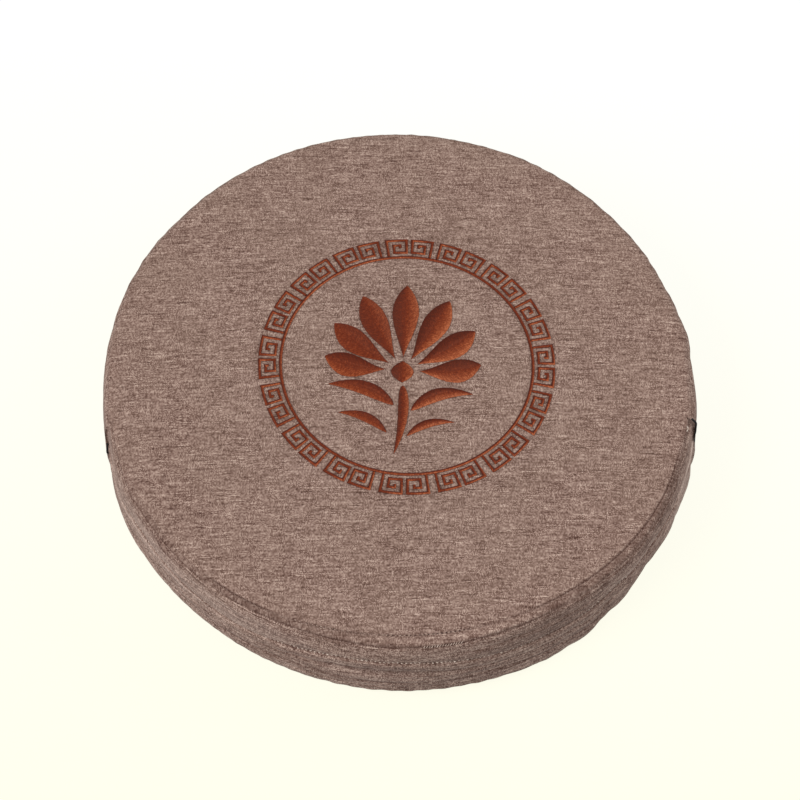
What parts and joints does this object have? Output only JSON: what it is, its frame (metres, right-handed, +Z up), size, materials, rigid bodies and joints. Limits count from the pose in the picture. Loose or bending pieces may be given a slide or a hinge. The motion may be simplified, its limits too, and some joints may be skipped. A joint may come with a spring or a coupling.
{
  "type": "round meditation cushion",
  "caption": "Round boxed floor cushion with a crowned, topstitched top, a zip gusset round the front, an embroidered key-fret ring and a lotus.",
  "frame": {"origin": "on the floor, under the middle of the part's box in plan", "axes": "+Z up out of the crowned top, -Y towards the front, where the zip gusset is, +X to the right seen from the front"},
  "size_m": [0.4528, 0.456, 0.0895],
  "materials": {
    "linen_cloth": "matte slubbed linen-look weave, heathered taupe",
    "satin_thread": "rust brown satin stitch with a soft sheen",
    "zip_tape": "black woven tape"
  },
  "bodies": {
    "root": {"circle_line": "satin_thread", "cushion": "linen_cloth", "key_01_left": "satin_thread", "key_01_right": "satin_thread", "key_02_left": "satin_thread", "key_02_right": "satin_thread", "key_03_left": "satin_thread", "key_03_right": "satin_thread", "key_04_left": "satin_thread", "key_04_right": "satin_thread", "key_05_left": "satin_thread", "key_05_right": "satin_thread", "key_06_left": "satin_thread", "key_06_right": "satin_thread", "key_07_left": "satin_thread", "key_07_right": "satin_thread", "key_08_left": "satin_thread", "key_08_right": "satin_thread", "key_09_left": "satin_thread", "key_09_right": "satin_thread", "key_10_left": "satin_thread", "key_10_right": "satin_thread", "key_11_left": "satin_thread", "key_11_right": "satin_thread", "key_12_left": "satin_thread", "key_12_right": "satin_thread", "key_13_left": "satin_thread", "key_13_right": "satin_thread", "key_14_left": "satin_thread", "key_14_right": "satin_thread", "key_15_left": "satin_thread", "key_15_right": "satin_thread", "key_16_left": "satin_thread", "key_16_right": "satin_thread", "lotus_heart": "satin_thread", "lotus_leaf_left": "satin_thread", "lotus_leaf_right": "satin_thread", "lotus_petal_left_1": "satin_thread", "lotus_petal_left_2": "satin_thread", "lotus_petal_left_3": "satin_thread", "lotus_petal_middle": "satin_thread", "lotus_petal_right_1": "satin_thread", "lotus_petal_right_2": "satin_thread", "lotus_petal_right_3": "satin_thread", "lotus_ripple_left": "satin_thread", "lotus_ripple_right": "satin_thread", "lotus_stem": "satin_thread", "zip_end_left": "zip_tape", "zip_end_right": "zip_tape"}
  },
  "joints": []
}
